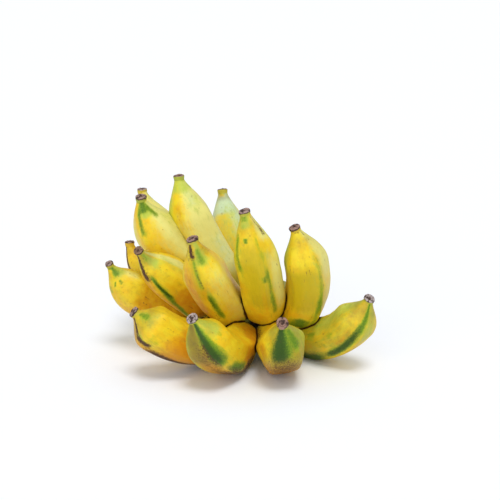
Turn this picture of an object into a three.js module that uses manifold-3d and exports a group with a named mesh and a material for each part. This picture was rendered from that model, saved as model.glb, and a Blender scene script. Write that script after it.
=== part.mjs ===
// A hand of short, plump bananas: fourteen fingers growing in three rows from one cut crown.
// Millimetres, +Z up, +X to the right and -Y towards a viewer who looks at the tips.
// The fingers are placed from the middle of the hand, and ORIGIN moves the whole to its own frame.

import * as THREE from "three";
import Module from "manifold-3d";

// Driving dimensions shared by every finger.
const PEDICEL_DIAMETER = 12; // stalk between the crown and the fruit
const PEDICEL_LENGTH = 10;
const SHOULDER_LENGTH = 32; // over which the stalk swells to full girth
const NECK_DIAMETER = 9; // just below the dried blossom end
const BLUNTNESS = 0.72; // of the narrowing to the tip: 1 is slender, less is blunter
const BLOSSOM_DIAMETER = 9.8;
const BLOSSOM_LENGTH = 4.5;
const BLOSSOM_BEVEL = 1;
const RIDGES = 5;
const RIDGE_DEPTH = 0.12; // how far the flat between two ridges lies inside the ridge line
const RIDGE_SHARPNESS = 1.1;
const GAP = 0.3; // kept between one piece and the next

// The crown is a cushion with rounded ends, cut flat underneath and at the back.
const CROWN_CENTRE = new THREE.Vector3(-3, 112, 24);
const CROWN_HALF_WIDTH = 51;
const CROWN_HALF_DEPTH = 24;
const CROWN_HALF_HEIGHT = 38;
const CROWN_SQUARENESS = 2.6; // 2 would be an ellipsoid
const CROWN_CUT = 16; // from the centre back to the cut face

// Where the middle of the underside of the whole hand lies before it is moved to the origin.
const ORIGIN = new THREE.Vector3(-11, 63.1, 0);

// Mesh fineness.
const SIDES = 20;
const BODY_RINGS = 12;
const CROWN_SIDES = 36;
const CROWN_RINGS = 16;

// Each finger: its seat in the crown, a point half way along it and its tip (all [x, y, z]), its widest
// diameter, the length over which it narrows to its tip, and how far its ridges turn to the left (degrees).
const FINGERS = [
  { seat: [-22, 95, 19], middle: [-51, 27, 25.6], tip: [-99, 8, 61], girth: 41.5, taper: 20, ridge: 0 },
  { seat: [-6, 92, 25], middle: [-20.5, 9, 23.3], tip: [-47.5, -29, 67.5], girth: 41.5, taper: 27, ridge: -15 },
  { seat: [14, 92, 31], middle: [26, 14, 21.7], tip: [26, -34, 65], girth: 40, taper: 29, ridge: 36 },
  { seat: [31, 100, 20], middle: [72.5, 45, 25.3], tip: [101.7, 20, 69.3], girth: 39.5, taper: 26.5, ridge: 13 },
  { seat: [27, 98, 25], middle: [49.6, 44, 66], tip: [36.5, 22, 130.5], girth: 40, taper: 34, ridge: 8 },
  { seat: [12, 94, 32], middle: [10, 34, 73.5], tip: [-5, 14, 146.5], girth: 39, taper: 41, ridge: 0 },
  { seat: [-7, 94, 28], middle: [-29.5, 32, 70.5], tip: [-48, 10, 124], girth: 40, taper: 36, ridge: 10 },
  { seat: [-25, 98, 26], middle: [-69, 65, 70], tip: [-97, 46, 104], girth: 40, taper: 39, ridge: -8 },
  { seat: [-38, 106, 14], middle: [-96, 90, 47], tip: [-126, 80, 83], girth: 40, taper: 37, ridge: 0 },
  { seat: [-38, 112, 29], middle: [-92, 120, 60], tip: [-111, 125, 91], girth: 34, taper: 42, ridge: 0 },
  { seat: [-22, 102, 42], middle: [-76, 86, 100.5], tip: [-95, 72, 145], girth: 43.5, taper: 42, ridge: 0 },
  { seat: [-22, 116, 44], middle: [-78.5, 130, 96], tip: [-100, 140, 137.5], girth: 38.5, taper: 42, ridge: 0 },
  { seat: [-7, 100, 43], middle: [-46, 92, 108], tip: [-63, 88, 160.2], girth: 40, taper: 40, ridge: 0 },
  { seat: [6, 109, 43], middle: [-16, 138, 88], tip: [-26, 160, 132], girth: 37.5, taper: 41, ridge: 0 },
];

const wasm = await Module();
wasm.setup();
const { Manifold, Mesh } = wasm;
const radians = THREE.MathUtils.degToRad;
const smooth = (x) => THREE.MathUtils.smoothstep(x, 0, 1);

// Skins a closed solid over rings of points, with a fan at each end.
function solidFrom(rings) {
  const around = rings[0].length;
  const points = rings.flat();
  const triangles = [];
  for (let r = 0; r + 1 < rings.length; r++) {
    for (let k = 0; k < around; k++) {
      const a = r * around + k;
      const b = r * around + ((k + 1) % around);
      triangles.push(a, b + around, b, a, a + around, b + around);
    }
  }
  for (const [ring, first] of [[0, true], [rings.length - 1, false]]) {
    const middle = new THREE.Vector3();
    rings[ring].forEach((p) => middle.addScaledVector(p, 1 / around));
    points.push(middle);
    for (let k = 0; k < around; k++) {
      const a = ring * around + k;
      const b = ring * around + ((k + 1) % around);
      triangles.push(...(first ? [a, b] : [b, a]), points.length - 1);
    }
  }
  return new Manifold(
    new Mesh({
      numProp: 3,
      vertProperties: Float32Array.from(points.flatMap((p) => p.toArray())),
      triVerts: Uint32Array.from(triangles),
    }),
  );
}

// The centreline of a finger, one bend from its seat through its middle to its tip, and the
// direction straight across that bend.
function centreline({ seat, middle, tip }) {
  const from = new THREE.Vector3(...seat);
  const to = new THREE.Vector3(...tip);
  const ends = from.clone().add(to).multiplyScalar(0.5);
  const pull = new THREE.Vector3(...middle).multiplyScalar(2).sub(ends);
  const curve = new THREE.QuadraticBezierCurve3(from, pull, to);
  const side = pull.clone().sub(from).cross(to.clone().sub(pull)).normalize();
  return { curve, side };
}

// Radius of the ridge line of a finger at a distance from its seat.
function radiusAt(distance, length, { girth, taper }) {
  const swell = smooth((distance - PEDICEL_LENGTH) / SHOULDER_LENGTH);
  const toTip = THREE.MathUtils.clamp((length - distance - BLOSSOM_LENGTH) / taper, 0, 1);
  const body = PEDICEL_DIAMETER + (girth - PEDICEL_DIAMETER) * swell;
  const narrow = NECK_DIAMETER / girth + (1 - NECK_DIAMETER / girth) * smooth(toTip ** BLUNTNESS);
  return (body * narrow) / 2;
}

// A finger with its stalk and its dried blossom end, grown on every side by `clearance`.
function fingerSolid(finger, clearance = 0) {
  const { curve, side } = centreline(finger);
  const length = curve.getLength();
  const bodyEnd = length - BLOSSOM_LENGTH;
  const stations = [0, PEDICEL_LENGTH / 2];
  for (let i = 0; i <= BODY_RINGS; i++) {
    stations.push(PEDICEL_LENGTH + ((bodyEnd - PEDICEL_LENGTH) * i) / BODY_RINGS);
  }
  const rings = stations.map((distance) => ({ distance, radius: radiusAt(distance, length, finger) }));
  rings.push({ distance: bodyEnd + BLOSSOM_BEVEL / 2, radius: BLOSSOM_DIAMETER / 2 });
  rings.push({ distance: length - BLOSSOM_BEVEL, radius: BLOSSOM_DIAMETER / 2 });
  rings.push({ distance: length, radius: BLOSSOM_DIAMETER / 2 - BLOSSOM_BEVEL });
  const thinnest = PEDICEL_DIAMETER / 2;
  return solidFrom(
    rings.map(({ distance, radius }) => {
      const middle = curve.getPointAt(distance / length);
      const outer = curve.getTangentAt(distance / length).cross(side).normalize();
      const fullness = THREE.MathUtils.clamp((radius - thinnest) / (finger.girth / 2 - thinnest), 0, 1);
      return Array.from({ length: SIDES }, (_, k) => {
        const turn = (2 * Math.PI * k) / SIDES;
        const flat = Math.abs(Math.sin((RIDGES * turn) / 2)) ** RIDGE_SHARPNESS;
        const reach = radius * (1 - RIDGE_DEPTH * fullness * flat) + clearance;
        const angle = turn + radians(finger.ridge);
        return middle
          .clone()
          .addScaledVector(outer, reach * Math.cos(angle))
          .addScaledVector(side, reach * Math.sin(angle));
      });
    }),
  );
}

// The crown, grown on every side by `clearance`.
function crownSolid(clearance = 0) {
  const rounded = (angle, wave) => {
    return Math.sign(wave(angle)) * Math.abs(wave(angle)) ** (2 / CROWN_SQUARENESS);
  };
  const rings = [];
  for (let r = 1; r < CROWN_RINGS; r++) {
    const across = (Math.PI * r) / CROWN_RINGS;
    rings.push(
      Array.from({ length: CROWN_SIDES }, (_, k) => {
        const turn = (2 * Math.PI * k) / CROWN_SIDES;
        return new THREE.Vector3(
          rounded(across, Math.cos) * (CROWN_HALF_WIDTH + clearance),
          rounded(across, Math.sin) * rounded(turn, Math.cos) * (CROWN_HALF_DEPTH + clearance),
          rounded(across, Math.sin) * rounded(turn, Math.sin) * (CROWN_HALF_HEIGHT + clearance),
        ).add(CROWN_CENTRE);
      }),
    );
  }
  return solidFrom(rings)
    .trimByPlane([0, 0, 1], -clearance)
    .trimByPlane([0, -1, 0], -(CROWN_CENTRE.y + CROWN_CUT + clearance));
}

// A named mesh of a solid in the frame of the whole hand, in one colour.
function part(name, solid, color, roughness) {
  const { vertProperties, triVerts, numProp } = solid.translate(ORIGIN.clone().negate().toArray()).getMesh();
  const positions = new Float32Array((vertProperties.length / numProp) * 3);
  for (let i = 0; i < positions.length; i++) {
    positions[i] = vertProperties[Math.floor(i / 3) * numProp + (i % 3)];
  }
  const geometry = new THREE.BufferGeometry();
  geometry.setAttribute("position", new THREE.BufferAttribute(positions, 3));
  geometry.setIndex(new THREE.BufferAttribute(triVerts, 1));
  const mesh = new THREE.Mesh(geometry, new THREE.MeshStandardMaterial({ color, roughness, metalness: 0 }));
  mesh.name = name;
  return mesh;
}

// Each finger stops short of the crown and of every finger before it, and is pressed flat where it rests.
const group = new THREE.Group();
group.add(part("crown", crownSolid(), 0x6f7a2c, 0.7));
let taken = crownSolid(GAP);
FINGERS.forEach((finger, index) => {
  const name = `finger_${String(index + 1).padStart(2, "0")}`;
  group.add(part(name, fingerSolid(finger).subtract(taken).trimByPlane([0, 0, 1], 0), 0xe6bf24, 0.45));
  taken = taken.add(fingerSolid(finger, GAP));
});

export default group;
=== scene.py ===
"""Looks of a hand of short, plump, ripening bananas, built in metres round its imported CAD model."""

import bpy
import numpy as np
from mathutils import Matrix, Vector


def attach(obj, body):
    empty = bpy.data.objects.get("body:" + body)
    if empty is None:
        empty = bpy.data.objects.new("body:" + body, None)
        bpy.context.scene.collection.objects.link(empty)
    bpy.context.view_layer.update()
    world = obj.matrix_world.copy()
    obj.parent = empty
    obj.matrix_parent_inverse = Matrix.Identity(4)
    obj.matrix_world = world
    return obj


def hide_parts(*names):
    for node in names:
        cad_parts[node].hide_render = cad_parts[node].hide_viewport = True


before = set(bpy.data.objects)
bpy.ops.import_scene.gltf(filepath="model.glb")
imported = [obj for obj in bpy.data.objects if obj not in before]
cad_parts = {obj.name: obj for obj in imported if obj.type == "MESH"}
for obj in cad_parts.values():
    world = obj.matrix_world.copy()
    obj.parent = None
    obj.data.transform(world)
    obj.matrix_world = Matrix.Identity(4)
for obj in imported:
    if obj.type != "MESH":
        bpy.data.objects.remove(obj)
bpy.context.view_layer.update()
MM = 0.001


# The crown is the woody cushion that the flower stem leaves behind, and all the stalks grow out of it.
# It is pale green rind over tough fibre, and a knife took it off the stem with one flat cut at the
# back, where the fibre has dried brown. The hand rests on its flattened underside.
CROWN_CENTRE = np.array([8.0, 48.9, 24.0])
CROWN_HALF_SIZES = np.array([51.0, 24.0, 38.0])
CROWN_SQUARENESS = 2.6
CROWN_CUT = CROWN_CENTRE[1] + 16.0
# The skin starts a little inside the cushion, which leaves room for the swelling round the stalks, and
# the cut is rounded at its edge and dished where the fibre has shrunk.
SKIN_INSET, STALK_SWELL, STALK_REACH = 1.2, 1.6, 15.0
CUT_ROUNDING, CUT_DISH = 1.2, 1.6
STALK_ENDS = np.array([
    [-22, 95, 19], [-6, 92, 25], [14, 92, 31], [31, 100, 20], [27, 98, 25],
    [12, 94, 32], [-7, 94, 28], [-25, 98, 26], [-38, 106, 14], [-38, 112, 29],
    [-22, 102, 42], [-22, 116, 44], [-7, 100, 43], [6, 109, 43],
]) - [-11.0, 63.1, 0.0]


def smooth(x):
    """A soft step: 0 below 0, 1 above 1, and 3x squared less 2x cubed between."""
    x = np.clip(x, 0.0, 1.0)
    return x * x * (3.0 - 2.0 * x)


def unevenness(places, wavelength, seed):
    """Even, seeded lumpiness from -1 to 1: the mean of nine plane sine waves that cross the places
    (mm) in random directions, each about a wavelength long, scaled up to fill the range."""
    rng = np.random.default_rng(seed)
    ways = rng.normal(size=(9, 3))
    ways *= (2 * np.pi / wavelength * rng.uniform(0.7, 1.4, 9) / np.linalg.norm(ways, axis=1))[:, None]
    waves = np.sin(places @ ways.T + rng.uniform(0, 2 * np.pi, 9))
    return np.clip(waves.mean(axis=-1) * 2.2, -1, 1)


def closed_skin(name, rings, layers, finish):
    """A closed mesh from rings of points (mm), ring by ring and side by side, with a fan of triangles
    from the middle of the first ring and of the last. layers are named values at every point."""
    count, around = rings.shape[:2]
    points = np.vstack([rings.reshape(-1, 3), rings[0].mean(axis=0), rings[-1].mean(axis=0)]) * MM
    number = np.arange(count * around).reshape(count, around)
    beside = np.roll(number, -1, axis=1)
    quads = np.stack([number[:-1], beside[:-1], beside[1:], number[1:]], axis=-1).reshape(-1, 4)
    first = np.stack([beside[0], number[0], np.full(around, count * around)], axis=-1)
    last = np.stack([number[-1], beside[-1], np.full(around, count * around + 1)], axis=-1)
    mesh = bpy.data.meshes.new(name)
    mesh.from_pydata(points.tolist(), [], quads.tolist() + first.tolist() + last.tolist())
    for layer, values in layers.items():
        ends = [values[end].reshape(around, -1).mean(axis=0) for end in (0, -1)]
        flat = np.vstack([values.reshape(count * around, -1), *ends])
        if flat.shape[1] == 3:
            mesh.attributes.new(layer, "FLOAT_VECTOR", "POINT").data.foreach_set("vector", flat.ravel())
        else:
            mesh.attributes.new(layer, "FLOAT", "POINT").data.foreach_set("value", flat.ravel())
    mesh.shade_smooth()
    mesh.materials.append(finish)
    piece = bpy.data.objects.new(name, mesh)
    bpy.context.scene.collection.objects.link(piece)
    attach(piece, "root")
    return piece


class Finish:
    """A material's node tree, with a short call for each kind of node that the finishes here use."""

    def __init__(self, name, **fixed):
        self.material = bpy.data.materials.new(name)
        self.material.use_nodes = True
        self.tree = self.material.node_tree
        self.shader = self.tree.nodes["Principled BSDF"]
        for socket, value in fixed.items():
            self.shader.inputs[socket.replace("_", " ")].default_value = value

    def node(self, kind, inputs=None, **settings):
        """A new node of a kind. Each input is a plain value or the output of another node."""
        made = self.tree.nodes.new(kind)
        for setting, value in settings.items():
            setattr(made, setting, value)
        for socket, value in (inputs or {}).items():
            if isinstance(value, bpy.types.NodeSocket):
                self.tree.links.new(value, made.inputs[socket])
            else:
                made.inputs[socket].default_value = value
        return made

    def layer(self, name):
        """The number that a named layer of the mesh holds."""
        return self.node("ShaderNodeAttribute", attribute_name=name).outputs["Fac"]

    def place(self, layer, stretch):
        """The vector that a named layer holds, stretched along each axis."""
        where = self.node("ShaderNodeAttribute", attribute_name=layer).outputs["Vector"]
        scaled = self.node("ShaderNodeMapping", {"Vector": where, "Scale": stretch})
        return scaled.outputs["Vector"]

    def noise(self, where, scale, detail=3.0, roughness=0.55):
        """Cloudy noise, stretched so that it fills the range from 0 to 1."""
        inputs = {"Vector": where, "Scale": scale, "Detail": detail, "Roughness": roughness}
        plain = self.node("ShaderNodeTexNoise", inputs).outputs["Fac"]
        spread = {"Value": plain, "From Min": 0.3, "From Max": 0.7, "To Min": 0.0, "To Max": 1.0}
        return self.node("ShaderNodeMapRange", spread).outputs["Result"]

    def combine(self, a, b, operation="ADD", clamp=False):
        """Two numbers added, or brought together by another operation."""
        made = self.node("ShaderNodeMath", {0: a, 1: b}, operation=operation, use_clamp=clamp)
        return made.outputs["Value"]

    def between(self, value, low, high, out_low=0.0, out_high=1.0):
        """value from low to high, brought smoothly to the range out_low to out_high."""
        inputs = {"Value": value, "From Min": low, "From Max": high, "To Min": out_low, "To Max": out_high}
        made = self.node("ShaderNodeMapRange", inputs, interpolation_type="SMOOTHSTEP")
        return made.outputs["Result"]

    def broken(self, layer, cloud, ragged, low=0.3, high=0.75):
        """A layer with its edge broken up by noise: layer plus ragged times (noise less one half)."""
        inputs = {0: cloud, 1: ragged, 2: -0.5 * ragged}
        offset = self.node("ShaderNodeMath", inputs, operation="MULTIPLY_ADD").outputs["Value"]
        return self.between(self.combine(self.layer(layer), offset), low, high)

    def blend(self, share, base, over):
        """The colour base with the colour over laid on it by a share."""
        made = self.node("ShaderNodeMix", {"Factor": share}, data_type="RGBA")
        for socket, value in (("A", base), ("B", over)):
            target = [i for i in made.inputs if i.name == socket and i.type == "RGBA"][0]
            if isinstance(value, bpy.types.NodeSocket):
                self.tree.links.new(value, target)
            else:
                target.default_value = (*value, 1.0)
        return [o for o in made.outputs if o.type == "RGBA"][0]

    def relief(self, height, strength, distance, under=None):
        """A bump of that height, over another bump if one is given."""
        inputs = {"Height": height, "Strength": strength, "Distance": distance}
        if under is not None:
            inputs["Normal"] = under
        return self.node("ShaderNodeBump", inputs).outputs["Normal"]

    def use(self, **sockets):
        """Plugs the given outputs into the shader, and gives the finished material."""
        for socket, value in sockets.items():
            self.tree.links.new(value, self.shader.inputs[socket.replace("_", " ")])
        return self.material


def crown_surface(sides=192, rows=160):
    """A cushion with squared ends. Across it runs from one end to the other and round it once:
    x is the rounded cosine of across, y and z its rounded sine times the rounded cosine and sine of
    the turn, where rounding raises a wave to the power of 2 over the squareness. What lies behind the
    cut or under the floor is drawn softly back to that plane, and the skin swells round each stalk."""
    def rounded(wave):
        return np.sign(wave) * np.abs(wave) ** (2 / CROWN_SQUARENESS)

    across = np.linspace(np.pi, 0.0, rows + 2)[1:-1, None]
    turn = np.linspace(0.0, 2 * np.pi, sides, endpoint=False)[None, :]
    unit = np.stack(
        [
            rounded(np.cos(across)) + 0 * turn,
            rounded(np.sin(across)) * rounded(np.cos(turn)),
            rounded(np.sin(across)) * rounded(np.sin(turn)),
        ],
        axis=-1,
    )
    lumps = 0.7 * unevenness(unit * 40, 26, 5) + 0.35 * unevenness(unit * 40, 9, 6)
    smooth_crown = unit * CROWN_HALF_SIZES + CROWN_CENTRE
    nearest = np.min(np.linalg.norm(smooth_crown[..., None, :] - STALK_ENDS, axis=-1), axis=-1)
    swell = STALK_SWELL * np.exp(-((nearest / STALK_REACH) ** 2)) + lumps
    points = unit * (CROWN_HALF_SIZES - SKIN_INSET + swell[..., None]) + CROWN_CENTRE
    behind = smooth((points[..., 1] - CROWN_CUT + CUT_ROUNDING) / (2 * CUT_ROUNDING))
    middle = 1 - np.hypot(unit[..., 0] / 0.9, unit[..., 2] / 0.9)
    dished = CROWN_CUT - CUT_DISH * smooth(middle) - 0.35 * (1 + unevenness(points, 6, 7)) * behind
    beyond = np.logaddexp(0, (dished - points[..., 1]) / CUT_ROUNDING)
    points[..., 1] = dished - CUT_ROUNDING * beyond
    points[..., 2] = 0.5 * np.logaddexp(0, points[..., 2] / 0.5) - 0.02
    points[..., 2] = np.maximum(points[..., 2], 0.0)
    # The last layer, nearness to the stalks away from the cut, places painted shade round the stalks deep
    # among the fingers.
    return points, behind, np.exp(-((nearest / 22.0) ** 2)) * (1 - behind)


def crown_rind():
    """Olive green rind that is brown and cork-like in patches, with painted shade, near black, round the
    stalks where the crown lies deep among the fingers, and dried brown fibre on the cut.
    """
    rind = Finish("crown_rind_and_dried_cut")
    object_place = rind.node("ShaderNodeTexCoord").outputs["Object"]
    cloud = rind.noise(object_place, 90.0, 5.0, 0.6)
    drawn = rind.node("ShaderNodeMapping", {"Vector": object_place, "Scale": (1.0, 0.12, 1.0)})
    fibre = rind.noise(drawn.outputs["Vector"], 1100.0, 3.0, 0.6)
    green = rind.blend(rind.between(cloud, 0.1, 0.9), (0.22, 0.23, 0.04), (0.34, 0.31, 0.06))
    corky_and_shaded = rind.blend(rind.between(cloud, 0.68, 0.86), green, (0.14, 0.085, 0.035))
    strands = rind.blend(rind.between(fibre, 0.2, 0.8), (0.10, 0.06, 0.032), (0.24, 0.155, 0.08))
    strands = rind.blend(rind.between(cloud, 0.3, 0.8), strands, (0.13, 0.075, 0.035))
    # Painted shade: near black round the stalks, where the crown lies deep among the fingers.
    corky_and_shaded = rind.blend(rind.broken("crevice_shade", cloud, 0.3, 0.1, 0.6), corky_and_shaded, (0.022, 0.014, 0.008))
    colour = rind.blend(rind.broken("cut_face", cloud, 0.5), corky_and_shaded, strands)
    bumps = rind.relief(fibre, 0.55, 0.0009, rind.relief(cloud, 0.4, 0.0015))
    return rind.use(Base_Color=colour, Roughness=rind.between(cloud, 0.0, 1.0, 0.55, 0.8), Normal=bumps)


crown_points, cut_face, crevice_shade = crown_surface()
crown_layers = {"cut_face": cut_face, "crevice_shade": crevice_shade}
crown = closed_skin("crown_cushion", crown_points, crown_layers, crown_rind())
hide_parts("crown")


# Fourteen fingers grow from the crown in three rows. Each is one soft fruit in a thin waxy peel, with
# five blunt ridges, a short stalk at the crown and a narrow neck at the other end, and bends up
# towards the light. They ripen from green through yellow to amber, the ridges and necks last.
# Rows: stalk end, middle and tip (mm, before PLACING), girth, length of the narrowing, ridge turn.
PLACING = np.array([-11.0, 63.1, 0.0])
FINGERS = [
    ((-22, 95, 19), (-51, 27, 25.6), (-99, 8, 61), 41.5, 20, 0),
    ((-6, 92, 25), (-20.5, 9, 23.3), (-47.5, -29, 67.5), 41.5, 27, -15),
    ((14, 92, 31), (26, 14, 21.7), (26, -34, 65), 40, 29, 36),
    ((31, 100, 20), (72.5, 45, 25.3), (101.7, 20, 69.3), 39.5, 26.5, 13),
    ((27, 98, 25), (49.6, 44, 66), (36.5, 22, 130.5), 40, 34, 8),
    ((12, 94, 32), (10, 34, 73.5), (-5, 14, 146.5), 39, 41, 0),
    ((-7, 94, 28), (-29.5, 32, 70.5), (-48, 10, 124), 40, 36, 10),
    ((-25, 98, 26), (-69, 65, 70), (-97, 46, 104), 40, 39, -8),
    ((-38, 106, 14), (-96, 90, 47), (-126, 80, 83), 40, 37, 0),
    ((-38, 112, 29), (-92, 120, 60), (-111, 125, 91), 34, 42, 0),
    ((-22, 102, 42), (-76, 86, 100.5), (-95, 72, 145), 43.5, 42, 0),
    ((-22, 116, 44), (-78.5, 130, 96), (-100, 140, 137.5), 38.5, 42, 0),
    ((-7, 100, 43), (-46, 92, 108), (-63, 88, 160.2), 40, 40, 0),
    ((6, 109, 43), (-16, 138, 88), (-26, 160, 132), 37.5, 41, 0),
]
PEDICEL_DIAMETER, PEDICEL_LENGTH, SHOULDER_LENGTH = 12.0, 10.0, 32.0
NECK_DIAMETER, BLUNTNESS, BLOSSOM_LENGTH = 9.0, 0.72, 4.5
NECK_SLIMNESS = [0.97, 1.0, 1.0, 0.96, 1.0, 1.0, 1.0, 0.87, 0.76, 0.9, 1.0, 0.95, 1.0, 1.0]
RIDGES, RIDGE_DEPTH, RIDGE_SHARPNESS = 5, 0.12, 1.1
# The peel stops inside the blossom end, and the thinner necks slim down over a short stretch before it.
PEEL_STOPS, SLIM_LENGTH = 4.2, 16.0
STALK_FLARE, STALK_FLARE_LENGTH = 1.4, 9.0
# Painted shade in the seams where fingers meet, fading out upwards to a height.
SEAM_WIDTH, SEAM_TOP, SEAM_FADE = 4.0, 115.0, 35.0
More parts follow.
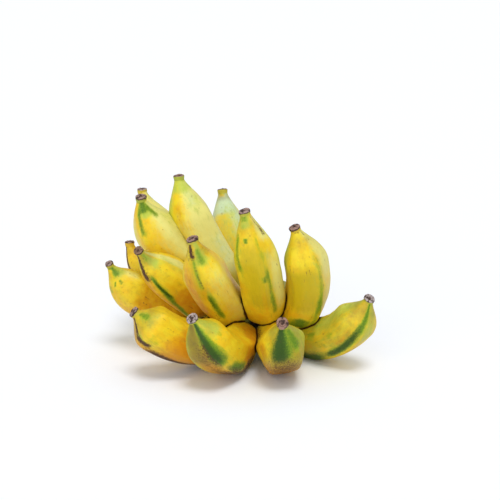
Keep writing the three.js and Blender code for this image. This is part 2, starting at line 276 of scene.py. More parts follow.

# What ripening has left on each peel, with painted shade and painted highlights laid on as marks too: the
# brownish marks over the necks are painted shade, the whitish ones mostly painted highlight, and the
# olive, amber and brown ones partly painted shade. A mark runs along the finger, from one share of its
# length to another, at a place round it counted in ridges, which may drift from the first to the second,
# and one with a spread of 9 goes all the way round: (first place, second place, spread, from, to,
# strength).
MARKS = [
    {
        "dull_shade": [(0.0, 0.0, 9.0, 0.84, 1.1, 0.42), (0.0, 0.0, 9.0, 0.64, 0.96, 0.15)],
        "lime": [(4.35, 4.35, 0.5, 0.84, 0.99, 0.6)],
        "green": [(4.35, 4.35, 0.3, 0.89, 0.97, 0.8), (0.4, 0.45, 0.18, 0.8, 0.92, 0.6),
                  (0.06, 0.06, 0.25, 0.79, 0.86, 0.4)],
        "brown": [(0.5, 0.25, 0.16, 0.87, 1.0, 1.0), (0.3, 0.65, 0.19, 0.79, 0.91, 1.0),
                  # The next brown mark is painted shade along this finger's underside.
                  (0.8, 0.8, 0.42, 0.3, 0.9, 1.1)],
        "amber": [(0.2, 0.2, 1.1, 0.1, 0.86, 1.3), (4.6, 4.6, 0.6, 0.1, 0.76, 1.1),
                  (1.0, 1.0, 0.6, 0.3, 1.0, 0.8)],
    },
    {
        "dull_shade": [(0.0, 0.0, 9.0, 0.84, 1.1, 0.35), (0.6, 0.6, 0.5, 0.72, 0.995, 0.75),
                 (0.55, 0.55, 0.5, 0.45, 0.86, 0.35)],
        "lime": [(4.1, 4.1, 0.7, 0.84, 1.0, 0.85), (1.1, 1.1, 0.25, 0.6, 1.0, 0.8)],
        "green": [(4.85, 5.0, 0.32, 0.68, 0.99, 1.0), (4.24, 4.24, 0.12, 0.84, 0.88, 0.5),
                  (4.72, 4.8, 0.22, 0.5, 0.72, 0.9)],
        "deep": [(4.97, 5.06, 0.17, 0.72, 0.99, 1.0), (4.85, 4.95, 0.1, 0.56, 0.74, 0.6)],
        "olive": [(0.5, 0.5, 0.6, 0.5, 1.0, 1.2), (4.9, 4.9, 0.4, 0.35, 0.66, 0.8)],
        "brown": [(0.4, 0.4, 0.35, 0.5, 0.97, 0.5), (0.1, 0.1, 0.4, 0.3, 0.74, 0.8),
                  (0.1, 0.2, 0.1, 0.7, 0.94, 0.6),
                  (4.75, 4.75, 0.35, 0.3, 0.56, 0.75)],
        "amber": [(0.5, 0.5, 0.5, 0.3, 0.95, 1.0), (3.7, 3.7, 0.45, 0.2, 0.5, 0.9),
                  (4.35, 4.35, 0.4, 0.3, 0.62, 1.0)],
        "speckle": [(0.5, 0.5, 0.6, 0.5, 1.0, 0.5)],
    },
    {
        "dull_shade": [(0.0, 0.0, 9.0, 0.84, 1.1, 0.50), (4.2, 4.2, 1.4, 0.6, 0.95, 0.5)],
        "lime": [(3.3, 3.3, 0.6, 0.75, 1.0, 0.9), (0.8, 0.8, 0.5, 0.88, 1.0, 0.6)],
        "green": [(4.75, 4.6, 0.6, 0.79, 1.0, 1.0), (3.95, 3.9, 0.35, 0.84, 0.98, 0.9)],
        "deep": [(4.75, 4.95, 0.42, 0.76, 1.01, 1.0)],
        "olive": [(4.5, 4.5, 0.9, 0.3, 0.95, 1.2), (4.0, 4.0, 0.4, 0.78, 0.9, 0.7)],
        "pale": [(3.5, 3.5, 0.2, 0.78, 0.98, 0.5)],
        "amber": [(4.6, 4.6, 0.9, 0.3, 0.84, 1.1), (0.7, 0.7, 0.3, 0.7, 0.86, 0.7)],
        # The second brown mark here is painted shade in the crevice beside the fingers next to it.
        "brown": [(4.6, 4.6, 0.85, 0.4, 0.9, 0.7), (1.3, 1.2, 0.35, 0.1, 0.5, 0.7)],
    },
    {
        "dull_shade": [(0.0, 0.0, 9.0, 0.84, 1.1, 0.45), (0.5, 0.5, 1.5, 0.5, 0.97, 0.3)],
        "lime": [(1.6, 1.6, 0.5, 0.35, 1.0, 0.8), (4.7, 4.7, 0.45, 0.7, 1.0, 0.7),
                 (0.9, 0.9, 1.2, 0.1, 0.99, 0.35)],
        "green": [(0.2, 0.28, 0.21, 0.46, 0.86, 0.95), (0.28, 0.03, 0.18, 0.76, 0.99, 0.95),
                  (0.12, 0.2, 0.2, 0.2, 0.55, 0.8), (0.69, 0.69, 0.14, 0.5, 0.6, 0.6),
                  (0.9, 0.9, 0.13, 0.62, 0.7, 0.5), (1.15, 1.15, 0.2, 0.42, 0.54, 0.6)],
        "deep": [(0.2, 0.28, 0.14, 0.46, 0.9, 0.85), (0.1, 0.1, 0.4, 0.15, 0.56, 0.85)],
        "olive": [(0.9, 0.9, 0.9, 0.15, 0.62, 0.9)],
        "pale": [(1.65, 1.65, 0.25, 0.5, 0.97, 0.7)],
        "amber": [(0.94, 0.94, 0.25, 0.79, 0.93, 0.4), (0.48, 0.48, 0.2, 0.6, 0.82, 0.7),
                  (0.8, 0.8, 0.25, 0.28, 0.5, 0.4), (4.8, 4.8, 0.3, 0.3, 0.85, 0.5)],
        "brown": [(4.75, 4.75, 0.25, 0.3, 0.85, 0.4)],
    },
    {
        "dull_shade": [(0.0, 0.0, 9.0, 0.84, 1.1, 0.28), (0.0, 0.0, 9.0, 0.64, 0.96, 0.14)],
        "lime": [(1.65, 1.65, 0.4, 0.7, 0.98, 0.8)],
        "green": [(5.08, 4.9, 0.12, 0.4, 0.95, 0.6), (0.1, 0.1, 0.13, 0.33, 0.62, 0.6),
                  (0.55, 0.55, 0.5, 0.26, 0.42, 0.9)],
        "olive": [(0.6, 0.6, 0.8, 0.4, 0.84, 1.1)],
        "pale": [(4.35, 4.35, 0.62, 0.62, 1.0, 0.8), (4.35, 4.35, 0.6, 0.3, 0.74, 0.4)],
        "brown": [(4.6, 4.6, 0.12, 0.92, 0.985, 0.6), (0.3, 0.3, 0.6, 0.955, 0.99, 0.6)],
        "amber": [(0.4, 0.4, 0.5, 0.78, 0.95, 0.2)],
    },
    {
        "dull_shade": [(0.0, 0.0, 9.0, 0.84, 1.1, 0.30), (0.0, 0.0, 9.0, 0.64, 0.96, 0.12)],
        "lime": [(0.3, 0.3, 0.8, 0.89, 1.0, 0.9), (1.3, 1.3, 0.45, 0.6, 0.95, 0.5),
                 (3.7, 3.7, 0.4, 0.4, 0.98, 0.7)],
        "green": [(0.75, 0.95, 0.12, 0.62, 0.95, 0.75), (0.38, 0.38, 0.13, 0.83, 0.87, 0.9),
                  (0.4, 0.4, 0.6, 0.93, 0.99, 0.7), (4.72, 4.72, 0.16, 0.34, 0.57, 0.75),
                  (4.72, 4.76, 0.1, 0.5, 0.74, 0.75), (4.76, 4.86, 0.08, 0.7, 0.9, 0.5),
                  (4.92, 4.92, 0.12, 0.61, 0.67, 0.8)],
        "brown": [(4.2, 4.2, 0.17, 0.83, 0.92, 0.7), (4.2, 4.5, 0.08, 0.89, 0.99, 0.6)],
        "olive": [(0.2, 0.2, 0.75, 0.36, 0.93, 1.0)],
        "pale": [(3.7, 3.7, 0.35, 0.4, 0.97, 0.9), (4.25, 4.25, 0.42, 0.8, 0.98, 0.8),
                 (4.25, 4.25, 0.42, 0.3, 0.84, 0.75)],
        "amber": [(0.04, 0.04, 0.15, 0.3, 0.65, 0.4), (1.3, 1.3, 0.4, 0.5, 0.8, 0.6)],
    },
    {
        "dull_shade": [(0.0, 0.0, 9.0, 0.84, 1.1, 0.42)],
        "lime": [(4.5, 4.5, 0.45, 0.82, 1.0, 0.9), (1.0, 1.0, 0.3, 0.5, 0.95, 0.3),
                 (4.3, 4.3, 0.6, 0.2, 0.36, 0.7)],
        "green": [(4.55, 4.6, 0.28, 0.83, 0.97, 0.8), (4.78, 4.82, 0.13, 0.4, 0.74, 0.85),
                  (4.85, 5.1, 0.1, 0.68, 0.95, 0.7)],
        "deep": [(4.85, 4.85, 0.06, 0.55, 0.72, 0.6)],
        "olive": [(5.05, 5.05, 0.35, 0.6, 0.97, 1.0)],
        "brown": [(4.85, 5.0, 0.07, 0.7, 0.9, 0.6), (5.0, 5.5, 0.28, 0.87, 1.0, 1.0)],
        "amber": [(0.5, 0.5, 0.45, 0.3, 0.95, 0.75), (4.9, 4.9, 0.3, 0.6, 0.8, 0.4)],
        "pale": [(3.9, 3.9, 0.8, 0.15, 0.97, 0.5)],
        "speckle": [(0.3, 0.3, 0.6, 0.4, 0.95, 1.2)],
    },
    {
        "dull_shade": [(0.0, 0.0, 9.0, 0.84, 1.1, 0.50), (0.0, 0.0, 9.0, 0.64, 0.96, 0.13)],
        "lime": [(4.1, 4.1, 0.4, 0.8, 1.0, 1.0), (3.6, 3.6, 0.3, 0.6, 0.9, 0.5)],
        "green": [(5.0, 4.75, 0.1, 0.25, 0.72, 0.85), (4.75, 4.77, 0.11, 0.5, 0.88, 0.95),
                  (4.3, 4.3, 0.4, 0.88, 0.99, 0.7)],
        "deep": [(4.74, 4.77, 0.06, 0.54, 0.8, 0.8)],
        "brown": [(5.0, 5.35, 0.28, 0.74, 1.0, 1.0), (4.7, 4.7, 0.6, 0.96, 1.0, 0.7)],
        "pale": [(3.3, 3.5, 0.2, 0.55, 0.98, 1.3)],
        "amber": [(4.3, 4.3, 0.9, 0.1, 0.66, 0.9), (0.5, 0.5, 0.8, 0.2, 0.95, 0.8)],
        "speckle": [(0.3, 0.3, 0.5, 0.7, 1.0, 1.2)],
    },
    {
        "dull_shade": [(0.0, 0.0, 9.0, 0.84, 1.1, 0.25), (0.0, 0.0, 9.0, 0.64, 0.96, 0.18)],
        "lime": [(3.2, 3.2, 0.7, 0.84, 1.0, 0.9)],
        "green": [(3.6, 3.6, 0.5, 0.87, 0.98, 0.9), (3.72, 3.72, 0.13, 0.82, 0.87, 0.8),
                  (4.3, 4.0, 0.12, 0.83, 0.875, 0.8), (4.74, 4.74, 0.15, 0.79, 0.86, 0.6),
                  (4.2, 4.2, 0.5, 0.94, 0.99, 0.7)],
        "brown": [(3.93, 3.93, 0.25, 0.755, 0.835, 0.35)],
        "pale": [(2.9, 2.9, 0.3, 0.72, 0.98, 0.7)],
        "amber": [(4.0, 4.0, 1.3, 0.1, 0.8, 0.7)],
    },
    {
        "dull_shade": [(0.0, 0.0, 9.0, 0.84, 1.1, 0.4)],
        "brown": [(4.55, 4.45, 0.16, 0.62, 1.0, 1.2)],
        "amber": [(4.0, 4.0, 2.5, 0.2, 0.98, 0.3)],
    },
    {
        "lime": [(3.5, 3.5, 0.7, 0.84, 1.0, 1.0), (2.3, 2.3, 0.6, 0.3, 0.98, 0.4)],
        "green": [(3.6, 3.6, 0.55, 0.88, 1.0, 1.0), (3.92, 4.1, 0.18, 0.74, 0.96, 0.8),
                  (2.85, 3.1, 0.22, 0.82, 0.97, 0.8)],
        "pale": [(2.6, 2.6, 0.7, 0.35, 0.98, 1.2), (4.8, 4.8, 0.45, 0.55, 0.95, 0.6),
                 (3.5, 3.5, 1.2, 0.3, 0.8, 0.2)],
    },
    {
        "dull_shade": [(0.0, 0.0, 9.0, 0.84, 1.1, 0.25)],
        "pale": [(2.6, 2.6, 1.2, 0.4, 0.99, 0.9)],
        "amber": [(4.0, 4.0, 2.5, 0.95, 1.0, 0.5)],
        "brown": [(2.5, 2.5, 0.3, 0.93, 0.97, 0.6)],
    },
    {
        "lime": [(3.9, 3.9, 2.5, 0.87, 1.02, 0.85), (4.95, 4.95, 0.35, 0.6, 0.95, 0.9),
                 (3.3, 3.3, 0.5, 0.72, 0.95, 0.5), (3.4, 3.4, 0.4, 0.3, 0.6, 0.3)],
        "pale": [(3.22, 3.22, 0.66, 0.1, 0.98, 1.3), (4.3, 4.3, 0.4, 0.2, 0.86, 0.35),
                 (3.0, 3.0, 1.3, 0.25, 0.75, 0.5)],
        "white_haze_highlight": [(3.2, 3.2, 0.3, 0.15, 0.62, 0.5), (3.4, 3.4, 0.3, 0.75, 0.95, 0.4)],
        "amber": [(4.2, 4.2, 0.3, 0.6, 0.88, 0.35), (2.55, 2.55, 0.25, 0.64, 0.88, 0.35)],
        "green": [(3.4, 3.4, 0.15, 0.7, 0.8, 0.25)],
    },
    {
        "dull_shade": [(0.0, 0.0, 9.0, 0.84, 1.1, 0.45)],
        "white_haze_highlight": [(3.4, 3.4, 0.9, 0.72, 0.96, 1.1), (4.4, 4.4, 0.5, 0.3, 0.98, 0.8),
                  (2.8, 2.8, 0.45, 0.3, 0.98, 0.9)],
        "pale": [(3.4, 3.4, 2.5, 0.2, 0.95, 0.35)],
        "lime": [(3.1, 3.1, 0.6, 0.2, 0.97, 0.6), (3.4, 3.4, 2.5, 0.93, 1.0, 0.6)],
        "amber": [(3.4, 3.4, 2.5, 0.965, 1.0, 0.5)],
    },
]
MARK_KINDS = ("dull_shade", "lime", "green", "deep", "olive", "amber", "pale", "white_haze_highlight", "brown", "speckle")


def centreline(seat, middle, tip, shares):
    """A parabola from the seat to the tip, pulled so that it passes through the middle half way.
    shares are parts of its length. Gives the places there, the way it runs, and the two directions
    square to it: outwards from the bend and sideways."""
    seat, middle, tip = (np.array(p, float) - PLACING for p in (seat, middle, tip))
    pull = 2 * middle - (seat + tip) / 2
    fine = np.linspace(0, 1, 1001)[:, None]
    line = (1 - fine) ** 2 * seat + 2 * fine * (1 - fine) * pull + fine**2 * tip
    reached = np.concatenate([[0], np.cumsum(np.linalg.norm(np.diff(line, axis=0), axis=1))])
    t = np.interp(shares * reached[-1], reached, fine[:, 0])[:, None]
    places = (1 - t) ** 2 * seat + 2 * t * (1 - t) * pull + t**2 * tip
    forwards = 2 * (1 - t) * (pull - seat) + 2 * t * (tip - pull)
    forwards /= np.linalg.norm(forwards, axis=1, keepdims=True)
    sideways = np.cross(pull - seat, tip - pull)
    sideways /= np.linalg.norm(sideways)
    outwards = np.cross(forwards, sideways)
    return places, forwards, outwards, sideways, reached[-1]


def ridge_radius(distance, length, girth, taper):
    """Half the diameter at the ridges: the stalk swells smoothly to the girth over the shoulder, and
    that is narrowed to the neck by a smooth step of the rest of the length raised to the bluntness."""
    swell = smooth((distance - PEDICEL_LENGTH) / SHOULDER_LENGTH)
    body = PEDICEL_DIAMETER + (girth - PEDICEL_DIAMETER) * swell
    rest = np.clip((length - distance - BLOSSOM_LENGTH) / taper, 0, 1)
    neck = NECK_DIAMETER / girth
    return body * (neck + (1 - neck) * smooth(rest**BLUNTNESS)) / 2


def reach_at(turn, radius, girth):
    """How far the peel lies from the centreline: full at the ridges and an eighth less on the flats
    between them, by the sine of the turn times half the ridges, faded out on the thin stalk and neck."""
    fullness = np.clip((radius - PEDICEL_DIAMETER / 2) / (girth / 2 - PEDICEL_DIAMETER / 2), 0, 1)
    flat = np.abs(np.sin(RIDGES * turn / 2)) ** RIDGE_SHARPNESS
    return radius * (1 - RIDGE_DEPTH * fullness * flat)


def finger_surface(row, slim, seed, rings=150, sides=144):
    """The peel of one finger: at each share of its length and each turn round it, the centreline plus
    the reach outwards by the cosine and sideways by the sine of the turn. It starts in the crown and
    ends as a blunt plug under the dried blossom, over whose last stretch it slims by the share slim. It
    flares where the stalk leaves the crown, and is a little uneven all over."""
    seat, middle, tip, girth, taper, ridge = row
    share_of_body = np.linspace(0, 0.8, rings * 6 // 10, endpoint=False)
    share = np.concatenate([share_of_body, np.linspace(0.8, 1, rings * 4 // 10)])
    length = centreline(seat, middle, tip, share)[-1]
    share = share * (1 - PEEL_STOPS / length)
    places, _, outwards, sideways, length = centreline(seat, middle, tip, share)
    distance = share[:, None] * length
    turn = np.linspace(0, 2 * np.pi, sides, endpoint=False)[None, :]
    radius = ridge_radius(distance, length, girth, taper)
    radius = radius * (1 - (1 - slim) * smooth(1 - (length - BLOSSOM_LENGTH - distance) / SLIM_LENGTH))
    radius = radius + STALK_FLARE * np.exp(-distance / STALK_FLARE_LENGTH)
    reach = reach_at(turn, radius, girth)
    straight = np.stack([reach * np.cos(turn), reach * np.sin(turn), distance + 0 * turn], axis=-1)
    full = np.clip((radius - NECK_DIAMETER / 2) / 8.0, 0, 1)
    waves = 0.3 * unevenness(straight * [1, 1, 0.6], 24, seed)
    dimples = 0.12 * unevenness(straight, 9, seed + 50)
    reach = reach + full * (waves + dimples)
    angle = turn + np.radians(ridge)
    points = places[:, None] + reach[..., None] * (
        outwards[:, None] * np.cos(angle)[..., None] + sideways * np.sin(angle)[..., None]
    )
    return points, straight, share[:, None], turn / (2 * np.pi) * RIDGES


def pressed(points, row, give):
    """Where points lie inside another finger and it doesn't give way, they move straight out from its
    centreline to its peel, as two soft fruits press each other flat. The nearest place on the
    centreline is the first of 240 that is closest, and the peel there lies at the reach of the turn
    that the point has. Also gives how near to that peel each point lies: 1 on it, and 0 from the width
    of a seam off."""
    seat, middle, tip, girth, taper, ridge = row
    shares = np.linspace(0, 1, 240)
    places, forwards, outwards, sideways, length = centreline(seat, middle, tip, shares)
    flat = points.reshape(-1, 3).copy()
    seam_shade = np.zeros(len(flat))
    reach = girth / 2 + 3
    close = np.flatnonzero(np.all((flat > places.min(0) - reach) & (flat < places.max(0) + reach), axis=1))
    if not len(close):
        return points, seam_shade.reshape(points.shape[:2])
    near = np.concatenate([
        np.argmin(((flat[part][:, None] - places[None]) ** 2).sum(-1), axis=1)
        for part in np.array_split(close, 1 + len(close) // 4000)
    ])
    away = flat[close] - places[near]
    away -= forwards[near] * (away * forwards[near]).sum(1, keepdims=True)
    far = np.linalg.norm(away, axis=1)
    turn = np.arctan2(away @ sideways, (away * outwards[near]).sum(1)) - np.radians(ridge)
    peel = reach_at(turn, ridge_radius(shares[near] * length, length, girth, taper), girth) + 0.1
    beside = (near > 0) & (near < len(shares) - 1)
    seam_shade[close] = smooth(1 - (far - peel) / SEAM_WIDTH) * beside
    inside = (far < peel) & beside & give
    farther = (peel[inside] - far[inside]) / np.maximum(far[inside], 0.5)
    flat[close[inside]] += away[inside] * farther[:, None]
    return flat.reshape(points.shape), seam_shade.reshape(points.shape[:2])


def mark_layer(marks, share, place):
    """One kind of mark over a whole finger: for each, its strength times a flat-topped bell across and
    a soft window along, all laid over each other as thin coats are."""
    clear = np.ones(np.broadcast(share, place).shape)
    for first, second, spread, start, end, strength in marks:
        centre = first + (second - first) * np.clip((share - start) / (end - start), 0, 1)
        beside = (place - centre + RIDGES / 2) % RIDGES - RIDGES / 2
        fade = 0.3 * (end - start)
        fade_out = min(fade, 0.03) if end > 0.97 else fade
        along = smooth((share - start) / fade) * smooth((end - share) / fade_out)
        clear *= 1 - np.clip(strength * np.exp(-np.abs(beside / spread) ** 2.5) * along, 0, 1)
    return 1 - clear


def banana_peel():
    """Thin waxy peel. Yellow runs to olive and amber, both partly painted shade and warm bounce light low
    on the fingers, to whitish lemon, mostly painted highlight, and whitish green, painted highlight on the
    back fingers, to a brownish painted shade over the necks and some facets, and to four greens, where the
    layers of the mesh say so, with edges broken up by noise, some of it drawn out along the finger. The
    stalks are painted nearly black, painted shade deep among the fingers. It has brown scars, which on
    some fingers are painted shade on the underside and in crevices, freckles, fine pores and faint
    lengthwise fibres, and painted shade darkens the seams where two fingers meet."""
    peel = Finish("banana_peel", Specular_IOR_Level=0.2, Coat_Weight=0.04, Coat_Roughness=0.3)
    along = peel.place("straight_place", (1.0, 1.0, 0.3))
    evenly = peel.place("straight_place", (1.0, 1.0, 1.0))
    cloud = peel.noise(evenly, 0.07, 4.0, 0.6)
    patch = peel.noise(evenly, 0.2, 5.0, 0.65)
    drawn = peel.noise(along, 0.32, 6.0, 0.7)
    fine = peel.noise(evenly, 0.8, 4.0, 0.65)
    fibre = peel.noise(along, 2.2, 3.0, 0.6)
    colour = peel.blend(peel.between(cloud, 0.0, 1.0), (0.76, 0.47, 0.009), (0.78, 0.62, 0.022))
    colour = peel.blend(peel.between(patch, 0.6, 1.05, 0.0, 0.4), colour, (0.52, 0.42, 0.010))
    # Olive, partly painted shade on the lower, down-turned flanks.
    colour = peel.blend(peel.broken("olive", drawn, 0.5, 0.05, 1.1), colour, (0.54, 0.41, 0.009))
    # Amber, partly painted shade and warm bounce light low on the fingers.
    colour = peel.blend(peel.broken("amber", patch, 0.45, 0.05, 1.1), colour, (0.61, 0.26, 0.008))
    # Whitish lemon, mostly painted highlight on the edges and facets turned to the light.
    colour = peel.blend(peel.broken("pale", drawn, 0.4, 0.05, 1.0), colour, (0.72, 0.68, 0.20))
    # Whitish green, painted highlight washing over the back fingers that face the light.
    colour = peel.blend(peel.broken("white_haze_highlight", patch, 0.4, 0.1, 1.05), colour, (0.55, 0.68, 0.42))
    colour = peel.blend(peel.broken("lime", drawn, 0.5, 0.1, 1.1), colour, (0.44, 0.52, 0.06))
    # Painted shade: a dull brownish darkening over the necks and some facets.
    colour = peel.blend(peel.broken("dull_shade", patch, 0.2, 0.0, 1.0), colour, (0.20, 0.15, 0.02))
    colour = peel.blend(peel.broken("green", drawn, 0.8, 0.05, 1.1), colour, (0.25, 0.36, 0.012))
    colour = peel.blend(peel.broken("green", fine, 0.35, 0.4, 1.1), colour, (0.085, 0.18, 0.006))
    colour = peel.blend(peel.broken("deep", fine, 0.35, 0.1, 1.0), colour, (0.028, 0.070, 0.003))
    # Painted shade: the stalks are nearly black, as they lie deep among the fingers at the crown.
    stalk = peel.blend(peel.between(patch, 0.2, 0.8), (0.06, 0.06, 0.015), (0.12, 0.12, 0.025))
    colour = peel.blend(peel.layer("stalk"), colour, stalk)
    # Brown scars, and on some fingers painted shade along the underside and in crevices.
    dark = peel.broken("brown", fine, 0.6, 0.3, 0.95)
    colour = peel.blend(dark, colour, (0.07, 0.028, 0.012))
    # Painted shade: nearly black red-brown in the seams where fingers meet, deep in the crevices between
    # them.
    seam_shading = peel.broken("seam_shade", patch, 0.3, 0.45, 1.0)
    colour = peel.blend(seam_shading, colour, (0.055, 0.014, 0.005))
    scratch = peel.noise(peel.place("straight_place", (1.0, 1.0, 0.12)), 0.5, 2.0, 0.5)
    scratched = peel.combine(peel.between(scratch, 0.93, 1.05), peel.between(patch, 0.45, 0.7), "MULTIPLY")
    colour = peel.blend(scratched, colour, (0.16, 0.07, 0.02))
    scattered = {"Vector": evenly, "Scale": 0.42, "Randomness": 1.0}
    spots = peel.node("ShaderNodeTexVoronoi", scattered).outputs["Distance"]
    size = peel.combine(peel.noise(evenly, 0.35, 2.0), 0.17, "MULTIPLY")
    freckle = peel.between(peel.combine(spots, size, "SUBTRACT"), 0.05, -0.04)
    often = peel.combine(peel.combine(peel.layer("speckle"), 0.75, "MULTIPLY"), 0.1, "ADD", True)
    freckle = peel.combine(freckle, often, "MULTIPLY")
    colour = peel.blend(freckle, colour, (0.25, 0.10, 0.015))
    shine = peel.combine(peel.between(drawn, 0.0, 1.0, 0.38, 0.5), peel.combine(dark, 0.25, "MULTIPLY"))
    pores = peel.noise(evenly, 2.6, 3.0, 0.6)
    dents = peel.relief(patch, 0.2, 0.0010)
    bumps = peel.relief(fibre, 0.1, 0.0004, peel.relief(pores, 0.08, 0.0003, dents))
    return peel.use(Base_Color=colour, Roughness=shine, Normal=bumps)


peel_finish = banana_peel()
for index, row in enumerate(FINGERS):
    name = f"finger_{index + 1:02d}"
    points, straight, share, place = finger_surface(row, NECK_SLIMNESS[index], 100 + index)
    seam_shade = np.zeros(points.shape[:2])
    for number, other in enumerate(FINGERS):
        if number != index:
            points, nearby = pressed(points, other, number < index)
            # Painted shade in the seams between fingers, faded out towards the top.
            seam_shade = np.maximum(seam_shade, nearby * smooth((SEAM_TOP - points[..., 2]) / SEAM_FADE))
    points[..., 2] = np.maximum(points[..., 2], 0.0)
    layers = {kind: mark_layer(MARKS[index].get(kind, ()), share, place) for kind in MARK_KINDS}
    near_stalk = smooth((0.34 - share) / 0.18)
    layers["lime"] = np.maximum(layers["lime"], 0.5 * near_stalk)
    # The stalk layer places the stalks' painted shade.
    layers["stalk"] = np.clip(1 - (share - 0.05) / 0.17, 0, 1) ** 1.5 * np.ones_like(place)
    layers["seam_shade"] = seam_shade
    layers["straight_place"] = straight + [0, 0, 211.0 * index]
    skin = closed_skin(f"{name}_peel", points, layers, peel_finish)
    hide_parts(name)


# The dried blossom ends are what is left of each flower: a short woody plug on the neck of the fruit,
# brown and wrinkled, with a worn slanted face round a small pit, where the flower dropped off.
# Rows: how much of the plug is dry (mm), how pale its rim is, partly from weathering and partly painted
# highlight, how pink it has turned, how steeply its face slants down to the front, and how green the neck
# under it is.
# The profile goes from inside the neck up the wall, over the worn rim, a shallow groove and a ring down
# into the pit: (depth below the end of the finger, radius), in mm.
BLOSSOM_RADIUS, DEEPEST = 4.9, 6.6
BLOSSOM_PROFILE = np.array([
    (6.6, 3.8), (5.8, 4.2), (4.9, 4.45), (4.2, 4.6), (3.2, 4.7), (2.2, 4.8), (1.3, 4.9), (0.6, 4.85),
    (0.2, 4.55), (0.05, 4.0), (0.25, 3.4), (0.5, 2.8), (0.4, 2.25), (0.3, 1.8), (0.7, 1.3),
    (1.3, 0.8), (1.7, 0.25),
])
BLOSSOM_ENDS = [
    (2.6, 0.35, 0.7, 0.3, 0.5), (3.0, 0.75, 0.3, 0.35, 0.8), (2.0, 0.05, 0.7, 0.45, 0.8),
    (2.2, 0.9, 0.4, 0.35, 0.7), (2.8, 0.15, 0.8, 0.1, 0.2), (2.2, 0.35, 0.9, 0.15, 0.7),
    (2.8, 0.15, 0.8, 0.15, 0.5), (3.4, 0.0, 0.15, 0.3, 0.6), (1.8, 0.4, 0.6, 0.2, 0.5),
    (1.4, 0.2, 0.6, 0.1, 0.0), (2.0, 0.3, 0.6, -0.1, 0.9), (1.0, 0.5, 0.8, 0.2, 0.3),
    (0.6, 0.1, 0.5, 0.0, 0.9), (1.1, 0.0, 0.8, 0.0, 0.5),
]


def blossom_surface(row, slim, slant, seed, sides=72, rows=72):
    """A plug turned round the end of the centreline: the profile, with a radius that waves a little
    with the turn. Going up to the face, the depth grows by the slant times the radius times the share
    of the turn that points to the front, which tilts the face."""
    seat, middle, tip, *_, ridge = row
    places, forwards, outwards, sideways, length = centreline(seat, middle, tip, np.array([1.0]))
    corner = np.arange(len(BLOSSOM_PROFILE))
    step = np.linspace(0, corner[-1], rows)
    depth, radius = (np.interp(step, corner, column)[:, None] for column in BLOSSOM_PROFILE.T)
    radius = radius * slim
    turn = np.linspace(0, 2 * np.pi, sides, endpoint=False)[None, :]
    unit = np.stack([radius * np.cos(turn), radius * np.sin(turn), depth + 0 * turn], axis=-1)
    lumps = unevenness(unit * [1, 1, 0.5], 2.6, seed)
    wide = unevenness(unit * [1, 1, 0.2], 9.0, seed + 9)
    radius = radius * (1 + 0.03 * lumps + 0.06 * wide)
    angle = turn + np.radians(ridge)
    around = outwards * np.cos(angle)[..., None] + sideways * np.sin(angle)[..., None]
    front = -around[..., 1] / np.hypot(outwards[0, 1], sideways[1])
    face = smooth(1 - depth / 5.0)
    slanted = slant * (radius * front + 0.5 * BLOSSOM_RADIUS)
    tilted = depth + face * (0.3 * lumps + 0.15 * (1 + wide) + slanted)
    points = places - forwards * np.minimum(tilted, DEEPEST)[..., None] + radius[..., None] * around
    return points, unit, np.clip(radius / (BLOSSOM_RADIUS * slim), 0, 1.2), depth + 0 * turn


def dried_blossom():
    """Dry brown tissue, pinkish or grey on the rolled rim and the rings, the grey partly weathering and
    partly painted highlight, nearly black in the grooves, the pit and where it joins the neck."""
    husk = Finish("dried_blossom_end")
    where = husk.place("straight_place", (1.0, 1.0, 0.6))
    cloud = husk.noise(where, 0.32, 4.0, 0.6)
    grain = husk.noise(where, 2.4, 4.0, 0.6)
    pink = husk.blend(husk.layer("pink"), (0.24, 0.14, 0.075), (0.34, 0.18, 0.135))
    # The rim is pink or grey; the grey is partly weathering and partly painted highlight on the plugs that
    # face the light.
    light = husk.blend(husk.layer("weathered_and_lit"), pink, (0.46, 0.40, 0.39))
    rim_worn_and_lit = husk.broken("raised", grain, 0.8, 0.05, 1.0)
    peel_left = husk.broken("fresh", grain, 0.7, 0.3, 0.7)
    colour = husk.blend(rim_worn_and_lit, (0.06, 0.024, 0.013), light)
    colour = husk.blend(husk.between(cloud, 0.48, 0.68), colour, (0.04, 0.016, 0.01))
    neck = husk.blend(husk.layer("neck_green"), (0.62, 0.40, 0.02), (0.36, 0.44, 0.045))
    colour = husk.blend(peel_left, colour, neck)
    bumps = husk.relief(grain, 0.5, 0.0005, husk.relief(cloud, 0.5, 0.0008))
    return husk.use(Base_Color=colour, Roughness=husk.between(grain, 0.0, 1.0, 0.6, 0.85), Normal=bumps)


husk_finish = dried_blossom()
for index, (row, (dry, weathered_and_lit, pink, slant, neck_green)) in enumerate(zip(FINGERS, BLOSSOM_ENDS)):
    points, unit, across, depth = blossom_surface(row, NECK_SLIMNESS[index], slant, 300 + index)
    on_face = smooth(1.6 - depth)
    out_of_pit = 0.35 + 0.65 * smooth((across - 0.3) / 0.15)
    out_of_groove = 1 - 0.6 * np.exp(-(((across - 0.57) / 0.07) ** 2))
    raised = on_face * out_of_pit * out_of_groove
    raised = raised + 0.12 * smooth((depth - 1.0) / 0.8) * smooth((dry - depth) / 1.2)
    layers = {
        "straight_place": unit + [0, 0, 57.0 * index],
        "raised": raised,
        "fresh": smooth((depth - dry) / 0.6 + 0.5) * (across > 0.8),
        "weathered_and_lit": np.full(raised.shape, weathered_and_lit),
        "pink": np.full(raised.shape, pink),
        "neck_green": np.full(raised.shape, neck_green),
    }
    closed_skin(f"finger_{index + 1:02d}_blossom_end", points, layers, husk_finish)


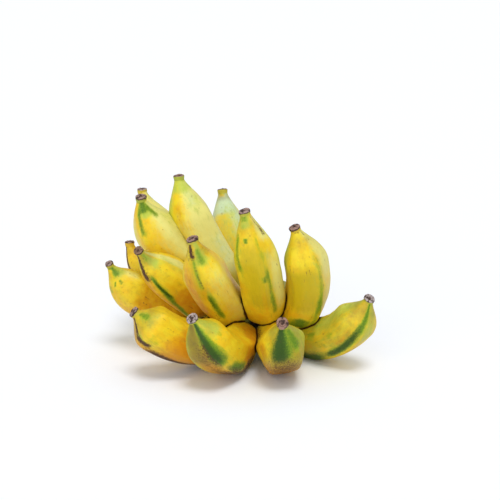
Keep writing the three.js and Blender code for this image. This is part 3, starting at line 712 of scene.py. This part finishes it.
# The floor is a plain pale studio sheet, wide enough to fill the view. It isn't part of the hand.
def floor_sheet(half=9.0, steps=40):
    """A flat square grid just under the hand, whose lowest points lie at height 0."""
    side = np.linspace(-half, half, steps + 1)
    x, y = np.meshgrid(side, side, indexing="ij")
    points = np.stack([x, y, np.full_like(x, -0.00015)], axis=-1).reshape(-1, 3)
    number = np.arange((steps + 1) ** 2).reshape(steps + 1, steps + 1)
    quads = np.stack([number[:-1, :-1], number[1:, :-1], number[1:, 1:], number[:-1, 1:]], axis=-1)
    return points.tolist(), quads.reshape(-1, 4).tolist()


floor_mesh = bpy.data.meshes.new("studio_floor")
corners, squares = floor_sheet()
floor_mesh.from_pydata(corners, [], squares)
floor_finish = Finish("studio_floor_white", Base_Color=(0.90, 0.93, 0.99, 1.0), Roughness=0.9)
floor_mesh.materials.append(floor_finish.material)
floor = bpy.data.objects.new("studio_floor", floor_mesh)
bpy.context.scene.collection.objects.link(floor)


# Soft studio light: an even white surround, a broad lamp high above and a broader, slightly weaker
# one low in front, a little to the left.
# Each lamp: strength, breadth (degrees) and the direction that it shines from.
world = bpy.data.worlds.new("studio_surround")
world.use_nodes = True
world.node_tree.nodes["Background"].inputs["Color"].default_value = (1.0, 1.0, 1.0, 1.0)
world.node_tree.nodes["Background"].inputs["Strength"].default_value = 0.57
bpy.context.scene.world = world
LAMPS = {
    "lamp_high_above": (1.5, 24.0, (0.12, -0.42, 1.0)),
    "lamp_in_front": (1.3, 60.0, (-0.35, -1.0, 0.28)),
}
for name, (strength, breadth, direction) in LAMPS.items():
    lamp = bpy.data.lights.new(name, "SUN")
    lamp.energy = strength
    lamp.angle = np.radians(breadth)
    lamp_holder = bpy.data.objects.new(name, lamp)
    lamp_holder.rotation_euler = Vector(direction).to_track_quat("Z", "Y").to_euler()
    bpy.context.scene.collection.objects.link(lamp_holder)


# The camera stands in front of the tips of the hand and looks down at its middle.
AIM = Vector((0.011, -0.0031, 0.0995))
DISTANCE = 1.1
TILT = np.radians(15.0)
camera_data = bpy.data.cameras.new("camera")
camera_data.sensor_fit = "HORIZONTAL"
camera_data.sensor_width = 36.0
camera_data.lens = 91.08
camera_data.clip_end = 50.0
camera = bpy.data.objects.new("camera", camera_data)
camera.location = AIM + DISTANCE * Vector((0.0, -np.cos(TILT), np.sin(TILT)))
camera.rotation_euler = (np.pi / 2 - TILT, 0.0, 0.0)
bpy.context.scene.collection.objects.link(camera)
bpy.context.scene.camera = camera
bpy.context.scene.view_settings.view_transform = "Standard"
